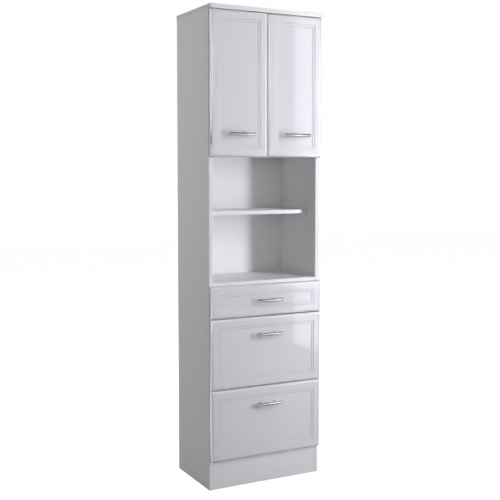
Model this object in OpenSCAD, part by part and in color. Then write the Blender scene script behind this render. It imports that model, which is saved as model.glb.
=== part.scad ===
/* [Carcass] */
// Width over the two side panels
cabinet_w = 500; // [440:1:640]
// Height from the floor to the top face
cabinet_h = 1900; // [1850:1:2100]
// Depth of the side panels, from their front edge to the wall
side_d = 307; // [300:1:400]
// Thickness of every carcass board
board_t = 16; // [15:0.5:18]
// How far the top panel stands out beyond each side panel
top_overhang = 1; // [0:0.5:5]
// How far the top panel stands out in front of the fronts
top_nose = 1; // [0:0.5:5]
// Height of the plinth, up to the underside of the bottom panel
plinth_h = 113; // [80:1:140]
// How far the plinth stands back from the side panels' front edge
plinth_setback = 1; // [0:0.5:20]
// Bevel along the visible front edges of the boards
edge_bevel = 0.6; // [0.2:0.1:1.5]

/* [Niche and shelves] */
// Height of the niche floor's top face above the floor
niche_floor_z = 825; // [815:1:900]
// Clear height of the open niche
niche_h = 495; // [450:1:560]
// Clear height below the niche shelf
niche_shelf_rise = 262; // [240:1:300]
// How far the shelf behind the doors lies below the middle of its cupboard
upper_shelf_drop = 4; // [0:1:48]
// Distance of the niche shelf's front edge from the carcass front
niche_shelf_setback = 58; // [20:1:62]
// Distance of the upper shelf's front edge from the carcass front
upper_shelf_setback = 30; // [24:1:60]
// Gap between a shelf and what is beside or behind it
shelf_gap = 1; // [0.5:0.25:3]
// Distance from one shelf pin hole to the next
pin_pitch = 64; // [32:32:96]
// Radius of a shelf pin
pin_r = 2.5; // [2:0.25:3]
// Length of a shelf pin outside the side panel
pin_reach = 9; // [7:0.5:12]
// Depth of a shelf pin hole
pin_hole_depth = 10; // [8:0.5:12]
// Distance of the front pin row from the carcass front
pin_row_front = 66; // [64:1:90]
// Distance of the rear pin row from the back panel
pin_row_rear = 36; // [30:1:60]

/* [Back panel] */
// Thickness of the back panel
back_t = 3; // [3:0.5:5]
// Distance from the back panel to the wall
back_recess = 18; // [16:1:30]
// Depth of the groove that holds the back panel
groove_depth = 6; // [4:0.5:7]
// Height of the joint between the two halves of the back
back_joint_z = 600; // [400:1:700]

/* [Fronts] */
// Thickness of a door or drawer front
front_t = 19; // [18:0.5:22]
// Gap between a front and the carcass behind it
front_gap = 2; // [1.8:0.1:3]
// How far a front stands back from the side panel's outer face
front_inset = 1; // [0.5:0.5:3]
// Gap between the two doors
door_gap = 3; // [2:0.5:4]
// Gap between two drawer fronts
drawer_gap = 3; // [2:0.5:6]
// Gap between the doors and the top panel
door_top_gap = 2; // [2:0.5:5]
// How far the doors, the top drawer and the lower drawer cover the edge of the board next to them
deck_overlap = 2; // [1:0.5:6]
// Radius of a front's outer edge
front_r = 12; // [6:1:14]
// Width of the flat frame round the routed field
frame_w = 32; // [28:1:40]
// Width of the ledge between the two routed steps
ledge_w = 9; // [6:0.5:12]
// Depth of each routed step
step_d = 2; // [1:0.25:2.5]
// Height of the top drawer's front
top_front_h = 127; // [115:1:150]
// Height of the middle drawer's front
middle_front_h = 280; // [240:1:300]

/* [Handles] */
// Length of a handle's bar
bar_l = 115; // [100:1:140]
// Radius of a handle's bar
bar_r = 6; // [4:0.5:7]
// Distance between a handle's two posts
post_spacing = 64; // [64:32:96]
// Radius of a handle's post
post_r = 3.6; // [3:0.1:4.5]
// Distance from the field of a front to the bar's axis
bar_reach = 24; // [20:1:35]
// Height of a door handle above the door's lower edge
door_handle_rise = 88; // [60:1:120]
// Distance of a deep drawer's handle below the front's upper edge
drawer_handle_drop = 69; // [55:1:100]

/* [Hinges] */
// Distance of a hinge from the door's lower or upper edge
hinge_inset = 90; // [75:1:120]
// Radius of the hinge cup
cup_r = 17.5; // [17.5:0.5:20]
// Depth of the hinge cup
cup_depth = 12.5; // [12:0.25:13]
// Distance of the hinge cup's axis from the door's outer edge
cup_inset = 20.5; // [20.5:0.5:22]
// Thickness of the cup's flange
flange_t = 1.2; // [0.8:0.1:1.3]
// Radius of the pivot pins
hinge_pin_r = 1; // [0.8:0.1:1.2]

/* [Drawers] */
// Gap between a drawer box and the side panel on each side
runner_gap = 13; // [12.5:0.25:16]
// Thickness of the drawer sides and backs
box_t = 12; // [10:0.5:16]
// Depth of a drawer box
box_d = 262; // [252:1:264]
// Height of the top drawer's box
shallow_box_h = 80; // [60:1:84]
// Height of a deep drawer's box
deep_box_h = 170; // [120:1:200]
// Height of a box's underside above its front's lower edge
box_lift = 28; // [26:1:34]
// Thickness of a drawer bottom
bottom_t = 3; // [3:0.5:5]
// Height of the drawer bottom above the box's underside
bottom_lift = 10; // [8:1:14]
// Length of a runner
runner_l = 250; // [240:1:250]
// Radius of a runner's roller
roller_r = 7.9; // [7:0.1:8]
// Width of a runner's roller
roller_w = 5.6; // [4:0.2:6]
// Thickness of the runners' steel
steel_t = 1; // [0.8:0.1:1.2]

/* [Hidden] */
$fn = 48;

// Colours, as the photograph shows them
board_white = [0.86, 0.86, 0.87];
gloss_white = [0.90, 0.90, 0.93];
steel_grey = [0.62, 0.63, 0.65];
zinc_grey = [0.72, 0.72, 0.70];
nylon_white = [0.93, 0.93, 0.92];
beech = [0.80, 0.66, 0.47];

// Clearances
fit_gap = 0.05;         // round a pin, screw or dowel in its hole
groove_gap = 0.1;       // on each side of a panel in its groove
buffer_gap = 0.4;       // between a buffer and the front that closes on it
cut = 1;                // how far a cutter runs past the face that it cuts

// Planes of the carcass, with y = 0 at the side panels' front edge
inner_w = cabinet_w - 2 * board_t;
inner_x = inner_w / 2;
back_y = side_d - back_recess - back_t;
under_top_z = cabinet_h - board_t;
floor_under_z = niche_floor_z - board_t;
niche_ceiling_z = niche_floor_z + niche_h;
upper_floor_z = niche_ceiling_z + board_t;
deck_zs = [plinth_h, floor_under_z, niche_ceiling_z];

// Planes of the fronts
front_w = cabinet_w - 2 * front_inset;
front_y = -front_gap - front_t;
field_d = 2 * step_d;
field_y = front_y + field_d;
door_w = (front_w - door_gap) / 2;
door_x = (door_gap + door_w) / 2;
door_z = niche_ceiling_z - deck_overlap;
door_h = under_top_z - door_top_gap - door_z;
bar_y = field_y - bar_reach;
front_reach = -(bar_y - bar_r);
frame_y = -(side_d - front_reach) / 2;

// The three drawers, from the top: height of the front's lower edge, and heights of front and box
top_front_z = floor_under_z + deck_overlap - top_front_h;
middle_front_z = top_front_z - drawer_gap - middle_front_h;
lower_front_z = plinth_h + deck_overlap;
lower_front_h = middle_front_z - drawer_gap - lower_front_z;
TOP = [top_front_z, top_front_h, shallow_box_h];
MIDDLE = [middle_front_z, middle_front_h, deep_box_h];
LOWER = [lower_front_z, lower_front_h, deep_box_h];
DRAWERS = [TOP, MIDDLE, LOWER];
function front_z(d) = d[0];
function front_h(d) = d[1];
function box_h(d) = d[2];
function box_z(d) = d[0] + box_lift;
function handle_z(d) = d[0] + max(d[1] / 2, d[1] - drawer_handle_drop);

// Shelves and their pins
niche_shelf_z = niche_floor_z + niche_shelf_rise;
upper_shelf_z = (upper_floor_z + under_top_z - board_t) / 2 - upper_shelf_drop;
pin_rows = [pin_row_front, back_y - pin_row_rear];
niche_pin_zs = [for (i = [0:2]) niche_shelf_z - pin_r + i * pin_pitch];
upper_pin_zs = [for (i = [-1:1]) upper_shelf_z - pin_r + i * pin_pitch];
pin_collar_r = pin_r + 1;
pin_seat = pin_hole_depth - 1;

// Cam fittings and dowels between the decks and the sides
cam_r = 7.5;
cam_depth = 12.5;
cam_inset = 24;
cam_edge = 45;          // distance of a cam fitting from a deck's front or rear edge
cam_ys = [cam_edge, back_y - cam_edge];
cam_bolt_r = 3;
cam_thread_r = 2.5;
cam_thread_l = 9;
dowel_r = 4;
dowel_in_side = 10;
dowel_in_deck = 20;
dowel_y = back_y / 2;
plinth_dowel_z = plinth_h / 2;
top_dowel_edge = 60;
top_dowel_ys = [top_dowel_edge, back_y - top_dowel_edge];

// Screws that fit the 5 mm system holes
screw_r = 2.5;
screw_l = 11;
screw_head_r = 3.7;
screw_head_t = 1.5;

// Wall brackets under the top panel, behind the back panel
bracket_t = 2;
bracket_w = 30;
bracket_h = 40;
bracket_edge = 50;      // distance of a bracket from the side panel's inner face
bracket_x = inner_x - bracket_edge;
bracket_hole_r = 3;
bracket_hole_drop = 28;
bracket_y = side_d - back_recess / 2;
bracket_screw_r = 1.75;
bracket_screw_l = 12;

// Buffers on the front edges
buffer_r = 5;
buffer_t = front_gap - buffer_gap;
buffer_x = 20;

// Hinge geometry, seen from above on the left side: x from the side panel's inner face,
// y from the carcass front. The arm holds arm_pin and back_pin; the cup holds cup_pin.
// The inner link's free end reaches free_end, where the linkage is left open.
arm_pin = [20, 3];
back_pin = [17, -9];
cup_pin = [-3, -2.5];
free_end = [-1.75, -7.4];
hinge_zs = [door_z + hinge_inset, door_z + door_h - hinge_inset];
cup_x = front_inset - board_t + cup_inset;
cup_wall = 1.45;
cup_floor = 1;
cup_hole_depth = cup_depth + 0.3;
flange_edge = 11.5;
ear_x = 6;
ear_z = 24;
ear_r = 5;
eye_r = 2;
arm_eye_r = 2.4;
link_half = 0.9;
inner_link_z = 2.4;     // half height of the inner link
outer_link_z = 2.7;     // start of the outer link's cheeks
arm_cheek_z = 4.2;      // start of the arm's cheeks
cup_lug_z = 5.7;        // start of the cup's lugs
cheek_t = 1.2;
system_y = 37;          // distance of the system holes from the front
plate_hole_z = 16;
plate_t = 2.5;
plate_d = 14;
plate_half_h = 23;
rail_y = [22, 58];
rail_x = 8;
arm_top_x = 11.2;
arm_low_x = 3.2;

// Drawer boxes and runners
box_w = inner_w - 2 * runner_gap;
box_x = box_w / 2;
tongue = 5;             // how far the drawer bottom goes into its groove
runner_z = 3;           // roller axis above the box's underside
front_roller_y = 12;
rear_roller_y = runner_l - 10;
axle_r = 2;
flange_z = runner_z + roller_r + 0.1;
ledge_under_box = 10;
channel_floor_z = runner_z - roller_r - 0.2;
channel_top_z = flange_z + steel_t + 0.5;
channel_w = runner_gap - 2 * steel_t - 0.6;
lip_h = 1.6;
top_lip_w = 7;
roller_x = runner_gap - steel_t - 2.2 - roller_w;
runner_hole_pitch = 96;
runner_hole_ys = [for (i = [0:2]) system_y + i * runner_hole_pitch];
box_screw_zs = [0.3, 0.8];
box_screw_r = 2;
box_screw_l = 36;
box_screw_head_r = 4;
box_screw_head_t = 2.2;
front_cam_r = 6;        // cams that hold a drawer front to the box sides
front_cam_depth = 10;
front_cam_inset = 24;
front_bolt_r = 2.5;
front_bolt_end = 9;     // length of the bolt in the front
small_screw_ys = [40, 170];
small_screw_r = 1.75;
small_screw_l = 9;
small_screw_head_r = 3;
small_screw_head_t = 1;
handle_screw_r = 2;
handle_screw_l = 12;
handle_head_r = 4;
handle_head_t = 2.2;

// ---------------------------------------------------------------- placing

// Puts the origin under the middle of the whole cabinet, on the floor
module in_frame() translate([0, frame_y, 0]) children();

// The children are drawn on the left side, and mirrored for the right one
module on_side(s) {
    if (s < 0) children();
    else mirror([1, 0, 0]) children();
}

module both_sides() for (s = [-1, 1]) on_side(s) children();

// A straight cylinder along +x, +y or -y
module rod_x(r, l) rotate([0, 90, 0]) cylinder(r = r, h = l);
module rod_y(r, l) rotate([-90, 0, 0]) cylinder(r = r, h = l);
module rod_front(r, l) rotate([90, 0, 0]) cylinder(r = r, h = l);

// A flat board with its two front edges bevelled, width along x and thickness along z
module deck(w, d, t) {
    translate([-w / 2, 0, 0]) rotate([90, 0, 90]) linear_extrude(w)
        polygon([[edge_bevel, 0], [d, 0], [d, t], [edge_bevel, t],
                 [0, t - edge_bevel], [0, edge_bevel]]);
}

// ---------------------------------------------------------------- carcass

module side_holes() {
    for (y = pin_rows, z = concat(niche_pin_zs, upper_pin_zs))
        translate([-inner_x + cut, y, z]) mirror([1, 0, 0])
            rod_x(pin_r + fit_gap, pin_hole_depth + cut);
    for (z = deck_zs, y = cam_ys)
        translate([-inner_x - cam_thread_l - cut, y, z + board_t / 2])
            rod_x(cam_thread_r + fit_gap, cam_thread_l + 2 * cut);
    for (z = deck_zs)
        translate([-inner_x - dowel_in_side - fit_gap, dowel_y, z + board_t / 2])
            rod_x(dowel_r + fit_gap, dowel_in_side + 2 * cut);
    translate([-inner_x - dowel_in_side - fit_gap, plinth_setback + board_t / 2, plinth_dowel_z])
        rod_x(dowel_r + fit_gap, dowel_in_side + 2 * cut);
    for (z = hinge_zs, dz = [-plate_hole_z, plate_hole_z])
        translate([-inner_x - screw_l - cut, system_y, z + dz])
            rod_x(screw_r + fit_gap, screw_l + 2 * cut);
    for (d = DRAWERS, y = runner_hole_ys)
        translate([-inner_x - screw_l - cut, y, box_z(d) + runner_z])
            rod_x(screw_r + fit_gap, screw_l + 2 * cut);
    for (y = top_dowel_ys)
        translate([-inner_x - board_t / 2, y, under_top_z - dowel_in_deck - fit_gap])
            cylinder(r = dowel_r + fit_gap, h = dowel_in_deck + cut);
}

module side_panel() {
    difference() {
        translate([-cabinet_w / 2, 0, 0]) linear_extrude(under_top_z)
            polygon([[edge_bevel, 0], [board_t - edge_bevel, 0], [board_t, edge_bevel],
                     [board_t, side_d], [0, side_d], [0, edge_bevel]]);
        translate([-inner_x - groove_depth, back_y - groove_gap, -cut])
            cube([groove_depth + cut, back_t + 2 * groove_gap, cabinet_h]);
        side_holes();
    }
}

module side_left() color(board_white) in_frame() side_panel();

module side_right() color(board_white) in_frame() mirror([1, 0, 0]) side_panel();

module top_panel() {
    color(board_white) in_frame() difference() {
        translate([0, front_y - top_nose, under_top_z])
            deck(cabinet_w + 2 * top_overhang, side_d - front_y + top_nose, board_t);
        translate([-inner_x - groove_depth, back_y - groove_gap, under_top_z - cut])
            cube([inner_w + 2 * groove_depth, back_t + 2 * groove_gap, groove_depth + cut]);
        for (s = [-1, 1], y = top_dowel_ys)
            translate([s * (inner_x + board_t / 2), y, under_top_z - cut])
                cylinder(r = dowel_r + fit_gap, h = dowel_in_side + cut + fit_gap);
        for (s = [-1, 1])
            translate([s * bracket_x, bracket_y, under_top_z - cut])
                cylinder(r = bracket_screw_r + fit_gap, h = bracket_screw_l + cut);
    }
}

// A deck with its cam pockets, bolt holes and dowel holes, its underside at z = 0
module fitted_deck() {
    difference() {
        deck(inner_w, back_y, board_t);
        both_sides() {
            for (y = cam_ys) translate([-inner_x, y, 0]) {
                translate([cam_inset, 0, -cut]) cylinder(r = cam_r + fit_gap, h = cam_depth + cut);
                translate([-cut, 0, board_t / 2]) rod_x(cam_bolt_r + fit_gap, cam_inset + cut);
            }
            translate([-inner_x - cut, dowel_y, board_t / 2])
                rod_x(dowel_r + fit_gap, dowel_in_deck + cut + fit_gap);
        }
    }
}

module niche_ceiling() color(board_white) in_frame() translate([0, 0, niche_ceiling_z]) fitted_deck();

module niche_floor() color(board_white) in_frame() translate([0, 0, floor_under_z]) fitted_deck();

module bottom_panel() color(board_white) in_frame() translate([0, 0, plinth_h]) fitted_deck();

module plinth() {
    color(board_white) in_frame() difference() {
        translate([-inner_x, plinth_setback, 0]) cube([inner_w, board_t, plinth_h]);
        both_sides() translate([-inner_x - cut, plinth_setback + board_t / 2, plinth_dowel_z])
            rod_x(dowel_r + fit_gap, dowel_in_deck + cut + fit_gap);
    }
}

// ---------------------------------------------------------------- back

strip_web = 1.2;
strip_flange_t = 1;
strip_flange_h = 7;
back_tongue = groove_depth - 0.5;

module back_sheet(z0, z1) {
    translate([-inner_x - back_tongue, back_y, z0]) cube([inner_w + 2 * back_tongue, back_t, z1 - z0]);
}

module back_panel_upper() {
    color(board_white) in_frame() back_sheet(back_joint_z + strip_web / 2, under_top_z + back_tongue);
}

module back_panel_lower() {
    color(board_white) in_frame() back_sheet(plinth_h, back_joint_z - strip_web / 2);
}

module back_joint_strip() {
    color(nylon_white) in_frame() translate([-inner_x + shelf_gap, back_y, back_joint_z]) {
        strip_l = inner_w - 2 * shelf_gap;
        translate([0, 0, -strip_web / 2]) cube([strip_l, back_t, strip_web]);
        for (y = [-strip_flange_t, back_t])
            translate([0, y, -strip_flange_h]) cube([strip_l, strip_flange_t, 2 * strip_flange_h]);
    }
}

// ---------------------------------------------------------------- shelves and small fittings

module shelf(z, setback) {
    translate([0, setback, z])
        deck(inner_w - 2 * shelf_gap, back_y - shelf_gap - setback, board_t);
}

module upper_shelf() color(board_white) in_frame() shelf(upper_shelf_z, upper_shelf_setback);

module niche_shelf() color(board_white) in_frame() shelf(niche_shelf_z, niche_shelf_setback);

module shelf_pins() {
    color(zinc_grey) in_frame() both_sides()
        for (z = [niche_shelf_z, upper_shelf_z], y = pin_rows)
            translate([-inner_x, y, z - pin_r]) {
                translate([-pin_seat, 0, 0]) rod_x(pin_r, pin_seat + pin_reach);
                rod_x(pin_collar_r, shelf_gap - fit_gap);
            }
}

module cam_lock() {
    slot_w = 1.6;
    slot_l = 9;
    difference() {
        cylinder(r = cam_r, h = cam_depth);
        translate([-cam_r - cut, 0, board_t / 2]) rod_x(cam_bolt_r + fit_gap, cam_r + cut);
        for (a = [0, 90]) rotate(a) translate([-slot_l / 2, -slot_w / 2, -cut])
            cube([slot_l, slot_w, cut + slot_w]);
    }
}

// The bolt, its thread in the side panel and its head in the cam, from the side's inner face
module cam_bolt() {
    rod_x(cam_bolt_r, cam_inset - fit_gap);
    translate([-cam_thread_l, 0, 0]) rod_x(cam_thread_r, cam_thread_l + cut);
}

module cam_fittings() {
    color(zinc_grey) in_frame() both_sides()
        for (z = deck_zs, y = cam_ys) translate([-inner_x, y, z]) {
            translate([cam_inset, 0, 0]) cam_lock();
            translate([0, 0, board_t / 2]) cam_bolt();
        }
}

module dowels() {
    dowel_l = dowel_in_side + dowel_in_deck;
    color(beech) in_frame() both_sides() {
        for (z = deck_zs) translate([-inner_x - dowel_in_side, dowel_y, z + board_t / 2])
            rod_x(dowel_r, dowel_l);
        translate([-inner_x - dowel_in_side, plinth_setback + board_t / 2, plinth_dowel_z])
            rod_x(dowel_r, dowel_l);
        for (y = top_dowel_ys)
            translate([-inner_x - board_t / 2, y, under_top_z - dowel_in_deck])
                cylinder(r = dowel_r, h = dowel_l);
    }
}

// A steel angle, its back against the wall and its foot under the top panel
module wall_angle() {
    foot_d = back_recess - bracket_t - groove_gap;
    difference() {
        union() {
            translate([-bracket_w / 2, -foot_d, -bracket_t]) cube([bracket_w, foot_d, bracket_t]);
            translate([-bracket_w / 2, -bracket_t, -bracket_h]) cube([bracket_w, bracket_t, bracket_h]);
        }
        translate([0, -bracket_t - cut, -bracket_hole_drop])
            rod_y(bracket_hole_r, bracket_t + 2 * cut);
        translate([0, -back_recess / 2, -bracket_t - cut])
            cylinder(r = bracket_screw_r + fit_gap, h = bracket_t + 2 * cut);
    }
}

module wall_brackets() {
    color(steel_grey) in_frame() both_sides() translate([-bracket_x, side_d, under_top_z]) {
        wall_angle();
        translate([0, -back_recess / 2, -bracket_t - fit_gap]) {
            cylinder(r = bracket_screw_r, h = bracket_screw_l);
            translate([0, 0, -screw_head_t]) cylinder(r = screw_head_r, h = screw_head_t);
        }
    }
}

module buffers() {
    color(nylon_white) in_frame() both_sides() {
        translate([-buffer_x, 0, niche_ceiling_z + board_t / 2]) rod_front(buffer_r, buffer_t);
        for (d = DRAWERS)
            translate([-inner_x - board_t / 2, 0, front_z(d) + front_h(d) / 2])
                rod_front(buffer_r, buffer_t);
    }
}

// A screw in a system hole, with its head on a fitting of thickness t
module system_screw(t) {
    translate([-screw_l, 0, 0]) rod_x(screw_r, screw_l + t);
    translate([t, 0, 0]) rod_x(screw_head_r, screw_head_t);
}

module system_screws() {
    color(zinc_grey) in_frame() both_sides() {
        for (z = hinge_zs, dz = [-plate_hole_z, plate_hole_z])
            translate([-inner_x, system_y, z + dz]) system_screw(plate_t);
        for (d = DRAWERS, y = runner_hole_ys)
            translate([-inner_x, y, box_z(d) + runner_z]) system_screw(steel_t);
    }
}

// ---------------------------------------------------------------- hinges

// Places a hinge part at the side panel's inner face, at the height of each hinge
module at_hinges() for (z = hinge_zs) translate([-inner_x, 0, z]) children();

// A layer of a hinge part: a flat outline from height z0, of thickness t, on both sides of z = 0
module layers(z0, t) for (m = [0, 1]) mirror([0, 0, m]) translate([0, 0, z0]) linear_extrude(t) children();

// A flat bar between two points, with a round eye at each end
module bar_outline(a, b, r, half) {
    l = norm(b - a);
    translate(a) rotate(atan2(b[1] - a[1], b[0] - a[0])) {
        translate([0, -half]) square([l, 2 * half]);
        circle(r);
        translate([l, 0]) circle(r);
    }
}

module hinge_plates() {
    color(steel_grey) in_frame() both_sides() at_hinges() difference() {
        union() {
            translate([0, system_y - plate_d / 2, -plate_half_h])
                cube([plate_t, plate_d, 2 * plate_half_h]);
            translate([0, rail_y[0], -arm_cheek_z + groove_gap])
                cube([rail_x, rail_y[1] - rail_y[0], 2 * (arm_cheek_z - groove_gap)]);
        }
        for (dz = [-plate_hole_z, plate_hole_z])
            translate([-cut, system_y, dz]) rod_x(screw_r + 2 * fit_gap, plate_t + 2 * cut);
    }
}

// The arm's cheek, seen from above: the long channel, the crank and the two eyes
module arm_outline() {
    neck = arm_eye_r - 0.3;
    translate(arm_pin) circle(arm_eye_r);
    translate(back_pin) circle(arm_eye_r);
    polygon([[back_pin[0] - neck, back_pin[1]], [back_pin[0] + neck, back_pin[1]],
             [back_pin[0] + neck, 0.3], [arm_pin[0] + neck, arm_pin[1]], [arm_pin[0] + neck, 8],
             [arm_top_x, rail_y[0]], [arm_top_x, rail_y[1]], [arm_low_x, rail_y[1]],
             [arm_low_x, rail_y[0] - 4], [back_pin[0] - neck, 6]]);
}

// The web that joins the two cheeks: along the channel, and down the crank
module arm_web() {
    translate([arm_top_x - cheek_t, rail_y[0]]) square([cheek_t, rail_y[1] - rail_y[0]]);
    polygon([[arm_top_x, rail_y[0]], [arm_pin[0] + arm_eye_r - 0.3, 8],
             [arm_pin[0] + arm_eye_r - 1.9, 8], [arm_top_x - cheek_t, rail_y[0] - 0.6],
             [arm_top_x - cheek_t, rail_y[0]]]);
}

module hinge_arms() {
    arm_half = arm_cheek_z + cheek_t;
    color(steel_grey) in_frame() both_sides() at_hinges() difference() {
        union() {
            layers(arm_cheek_z, cheek_t) arm_outline();
            translate([0, 0, -arm_cheek_z]) linear_extrude(2 * arm_cheek_z) arm_web();
        }
        for (p = [arm_pin, back_pin]) translate([p[0], p[1], -arm_half - cut])
            cylinder(r = hinge_pin_r + fit_gap, h = 2 * (arm_half + cut));
    }
}

// The outer link is a fork: two cheeks on the arm's pin, with a stub pin at each free end
module outer_links() {
    web_half = outer_link_z;
    arm_half = arm_cheek_z + cheek_t;
    stub_end = cup_lug_z + cheek_t;
    dir = (cup_pin - arm_pin) / norm(cup_pin - arm_pin);
    at_hinges() {
        layers(outer_link_z, cheek_t) bar_outline(arm_pin, cup_pin, eye_r, link_half);
        translate([0, 0, -web_half]) linear_extrude(2 * web_half)
            bar_outline(arm_pin, arm_pin + 6 * dir, link_half, link_half);
        translate([arm_pin[0], arm_pin[1], -arm_half]) cylinder(r = hinge_pin_r, h = 2 * arm_half);
        layers(outer_link_z, stub_end - outer_link_z) translate(cup_pin) circle(hinge_pin_r);
    }
}

module inner_links() {
    arm_half = arm_cheek_z + cheek_t;
    at_hinges() {
        translate([0, 0, -inner_link_z]) linear_extrude(2 * inner_link_z)
            bar_outline(back_pin, free_end, eye_r, link_half);
        translate([back_pin[0], back_pin[1], -arm_half]) cylinder(r = hinge_pin_r, h = 2 * arm_half);
    }
}

module outer_links_left() color(steel_grey) in_frame() outer_links();

module outer_links_right() color(steel_grey) in_frame() mirror([1, 0, 0]) outer_links();

module inner_links_left() color(steel_grey) in_frame() inner_links();

module inner_links_right() color(steel_grey) in_frame() mirror([1, 0, 0]) inner_links();

// The cup in the door, its flange with two ears, and the lugs that carry the outer link's stubs
module hinge_cup() {
    difference() {
        union() {
            translate([cup_x, -front_gap, 0]) rod_front(cup_r - fit_gap, cup_depth);
            translate([cup_x, -front_gap + flange_t, 0]) rotate([90, 0, 0]) linear_extrude(flange_t)
                intersection() {
                    union() {
                        circle(cup_r + 1.5);
                        translate([ear_x - ear_r, -ear_z]) square([2 * ear_r, 2 * ear_z]);
                        for (dz = [-ear_z, ear_z]) translate([ear_x, dz]) circle(ear_r);
                    }
                    translate([-cup_x - flange_edge, -2 * ear_z]) square([4 * cup_r, 4 * ear_z]);
                }
        }
        translate([cup_x, -front_gap + flange_t + cut, 0])
            rod_front(cup_r - cup_wall, cup_depth - cup_floor + flange_t + cut);
        for (dz = [-ear_z, ear_z]) translate([cup_x + ear_x, -front_gap + flange_t + cut, dz])
            rod_front(small_screw_r + fit_gap, flange_t + 2 * cut);
    }
    difference() {
        layers(cup_lug_z, cheek_t) {
            translate(cup_pin) circle(eye_r - 0.1);
            translate([-flange_edge + 2.2, -front_gap - cup_depth + cup_floor])
                square([flange_edge - 2.2 + cup_pin[0], cup_depth - cup_floor - 0.5]);
        }
        translate([cup_pin[0], cup_pin[1], -cup_lug_z - cheek_t - cut])
            cylinder(r = hinge_pin_r + fit_gap, h = 2 * (cup_lug_z + cheek_t + cut));
    }
}

module hinge_cups_left() color(steel_grey) in_frame() at_hinges() hinge_cup();

module hinge_cups_right() color(steel_grey) in_frame() mirror([1, 0, 0]) at_hinges() hinge_cup();

// ---------------------------------------------------------------- fronts

// Outline of a slab of width w, its back at y = 0 and its two front corners rounded
module slab_outline(w, t, r) {
    intersection() {
        union() {
            translate([-w / 2, r - t]) square([w, t]);
            translate([r - w / 2, -t]) square([w - 2 * r, t]);
            for (s = [-1, 1]) translate([s * (w / 2 - r), r - t]) circle(r);
        }
        translate([-w / 2, -t]) square([w, t]);
    }
}

// The same outline drawn along the height and along the width, so the corners are mitred
module mitred_slab(w, h, t, r) {
    intersection() {
        linear_extrude(h) slab_outline(w, t, r);
        translate([-w / 2, 0, h / 2]) rotate([90, 0, 90]) linear_extrude(w)
            mirror([1, -1]) slab_outline(h, t, r);
    }
}

// The cutter for one routed step: the slab turned round, its rounded edges towards the back
module step_cutter(w, h, inset, depth) {
    translate([0, -front_t, inset]) mirror([0, 1, 0]) translate([0, cut, 0])
        mitred_slab(w - 2 * inset, h - 2 * inset, depth + cut, step_d);
}

// A door or drawer front: back at y = 0, lower edge at z = 0, with holes for its handle at hole_z
module routed_front(w, h, hole_z) {
    difference() {
        mitred_slab(w, h, front_t, front_r);
        step_cutter(w, h, frame_w, step_d);
        step_cutter(w, h, frame_w + ledge_w, field_d);
        for (s = [-1, 1]) translate([s * post_spacing / 2, cut, hole_z])
            rod_front(handle_screw_r + fit_gap, front_t + 2 * cut);
    }
}

module door() {
    difference() {
        translate([-door_x, -front_gap, door_z]) routed_front(door_w, door_h, door_handle_rise);
        at_hinges() {
            translate([cup_x, -front_gap + cut, 0]) rod_front(cup_r, cup_hole_depth + cut);
            for (dz = [-ear_z, ear_z]) translate([cup_x + ear_x, -front_gap + cut, dz])
                rod_front(small_screw_r + fit_gap, small_screw_l + cut);
        }
    }
}

module door_left() color(gloss_white) in_frame() door();

module door_right() color(gloss_white) in_frame() mirror([1, 0, 0]) door();

module drawer_front(d) {
    color(gloss_white) in_frame() difference() {
        translate([0, -front_gap, front_z(d)])
            routed_front(front_w, front_h(d), handle_z(d) - front_z(d));
        both_sides() front_bolt_places(d)
            translate([0, cut, 0]) rod_front(front_bolt_r + fit_gap, front_bolt_end + cut + fit_gap);
    }
}

// ---------------------------------------------------------------- handles

// A bar with domed ends on two posts that are saddled to it, centred at the field's surface
module handle() {
    dome = 1;
    translate([-bar_l / 2, -bar_reach, 0]) rotate([0, 90, 0]) {
        translate([0, 0, dome]) cylinder(r = bar_r, h = bar_l - 2 * dome);
        cylinder(r1 = bar_r - dome, r2 = bar_r, h = dome);
        translate([0, 0, bar_l - dome]) cylinder(r1 = bar_r, r2 = bar_r - dome, h = dome);
    }
    for (s = [-1, 1]) translate([s * post_spacing / 2, 0, 0]) difference() {
        union() {
            rod_front(post_r, bar_reach);
            rod_front(post_r + 1.4, 1.5);
        }
        translate([-2 * bar_r, -bar_reach, 0]) rod_x(bar_r + fit_gap, 4 * bar_r);
        translate([0, cut, 0]) rod_front(handle_screw_r + fit_gap, handle_screw_l + cut);
    }
}

// The two screws behind a handle, heads on the back of the front
module handle_screws() {
    grip = front_t - field_d;
    for (s = [-1, 1]) translate([s * post_spacing / 2, grip, 0]) {
        rod_front(handle_screw_r, grip + handle_screw_l);
        rod_y(handle_head_r, handle_head_t);
    }
}

module at_door_handle() translate([-door_x, field_y, door_z + door_handle_rise]) children();

module door_handle_left() color(steel_grey) in_frame() at_door_handle() handle();

module door_handle_right() color(steel_grey) in_frame() mirror([1, 0, 0]) at_door_handle() handle();

module door_screws() {
    at_door_handle() handle_screws();
    at_hinges() for (dz = [-ear_z, ear_z]) translate([cup_x + ear_x, -front_gap + flange_t, dz]) {
        rod_front(small_screw_r, small_screw_l + flange_t - cut);
        rod_y(small_screw_head_r, small_screw_head_t);
    }
}

module door_screws_left() color(zinc_grey) in_frame() door_screws();

module door_screws_right() color(zinc_grey) in_frame() mirror([1, 0, 0]) door_screws();

module drawer_handle(d) color(steel_grey) in_frame() translate([0, field_y, handle_z(d)]) handle();

// ---------------------------------------------------------------- drawer boxes

module box_screw_places(d) {
    for (k = box_screw_zs)
        translate([-box_x, box_d - front_gap - box_t / 2, box_z(d) + k * box_h(d)]) children();
}

// The middle of a box side's front end, at the height of each bolt that holds the front
module front_bolt_places(d) {
    for (k = box_screw_zs)
        translate([-box_x + box_t / 2, -front_gap, box_z(d) + k * box_h(d)]) children();
}

module small_screw_places(d) {
    for (y = small_screw_ys) translate([-box_x, y, box_z(d) + runner_z + 2]) children();
}

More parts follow.
